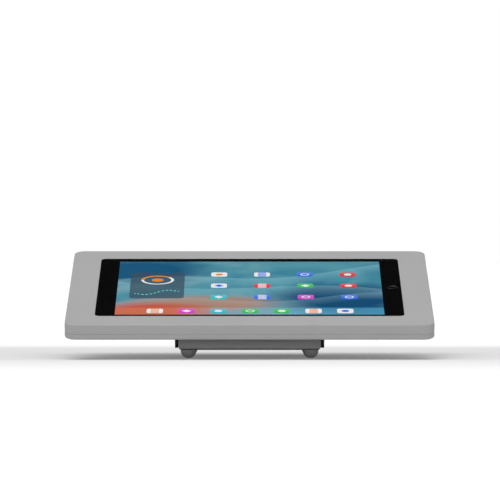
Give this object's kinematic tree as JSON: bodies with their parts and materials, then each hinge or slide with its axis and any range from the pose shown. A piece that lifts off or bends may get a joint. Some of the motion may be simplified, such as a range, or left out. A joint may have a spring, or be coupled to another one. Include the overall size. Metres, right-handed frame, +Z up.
{
  "type": "tablet enclosure mount",
  "caption": "Low desk mount with a lockable tilt carrying a screwed two-part metal enclosure that frames a large tablet in landscape.",
  "frame": {"origin": "centre of the footprint box, on the desk plane that the feet stand on", "axes": "+X to the right along the long side of the enclosure, +Y away from the viewer, +Z up; the screen leans 15 degrees up towards +Y at rest"},
  "size_m": [0.3578, 0.2684, 0.1048],
  "materials": {
    "enclosure_paint": "fine light grey powder coat on sheet and cast aluminium",
    "base_paint": "grey powder coat on folded steel",
    "bracket_paint": "black powder coat on folded steel",
    "foot_rubber": "satin grey rubber",
    "black_foam": "closed-cell foam",
    "grommet_rubber": "satin black rubber",
    "dark_steel": "black oxide",
    "zinc_steel": "zinc plated",
    "insert_brass": "turned",
    "washer_nylon": "natural nylon",
    "tablet_metal": "bead-blasted and anodised grey",
    "front_glass": "polished",
    "mask_ink": "black ink under glass",
    "screen": "lit display behind glass",
    "button_glass": "polished black",
    "trim_metal": "satin anodised",
    "cell_wrap": "black pouch film",
    "circuit_board": "green solder mask",
    "shield_can": "tinned steel",
    "black_plastic": "moulded",
    "lens_glass": "polished lens"
  },
  "bodies": {
    "base": {"base_bracket": "base_paint", "rubber_feet": "foot_rubber", "foot_studs": "zinc_steel", "foot_nuts": "zinc_steel", "pivot_bolts": "dark_steel", "pivot_washers": "dark_steel", "friction_washers": "washer_nylon", "spring_washers": "zinc_steel", "pivot_nuts": "zinc_steel", "clamp_bolts": "dark_steel", "clamp_washers": "dark_steel", "clamp_nuts": "zinc_steel"},
    "head": {"tilt_bracket": "bracket_paint", "plate_screws": "dark_steel", "rear_shell": "enclosure_paint", "plate_inserts": "zinc_steel", "cable_grommet": "grommet_rubber", "front_cover": "enclosure_paint", "cover_screws": "dark_steel", "cover_inserts": "insert_brass", "corner_cradles": "black_foam", "back_cushions": "black_foam", "window_gasket": "black_foam", "tablet_housing": "tablet_metal", "cover_glass": "front_glass", "bezel_mask": "mask_ink", "display_panel": "screen", "home_button_ring": "trim_metal", "home_switch": "black_plastic", "power_switch": "black_plastic", "volume_switches": "black_plastic", "battery_cells": "cell_wrap", "logic_board": "circuit_board", "port_board": "circuit_board", "board_shields": "shield_can", "speakers": "black_plastic", "front_camera": "lens_glass", "rear_camera": "lens_glass", "charge_port": "shield_can", "headphone_jack": "black_plastic"},
    "home_button": {"home_button": "button_glass"},
    "power_button": {"power_button": "tablet_metal"},
    "volume_up_button": {"volume_up_button": "tablet_metal"},
    "volume_down_button": {"volume_down_button": "tablet_metal"}
  },
  "joints": [
    {"name": "tilt", "type": "hinge", "parent": "base", "child": "head", "pos_m": [0, -0.05199, 0.02685], "axis": [1, 0, 0], "range_deg": [-15, 12]},
    {"name": "home_button_press", "type": "slide", "parent": "head", "child": "home_button", "axis": [0, 0.2588, -0.9659], "range_m": [0, 0.00025], "stiffness_N_per_m": 2000},
    {"name": "power_button_press", "type": "slide", "parent": "head", "child": "power_button", "axis": [1, 0, 0], "range_m": [0, 0.0003], "stiffness_N_per_m": 2000},
    {"name": "volume_up_press", "type": "slide", "parent": "head", "child": "volume_up_button", "axis": [0, -0.9659, -0.2588], "range_m": [0, 0.0003], "stiffness_N_per_m": 2000},
    {"name": "volume_down_press", "type": "slide", "parent": "head", "child": "volume_down_button", "axis": [0, -0.9659, -0.2588], "range_m": [0, 0.0003], "stiffness_N_per_m": 2000}
  ]
}
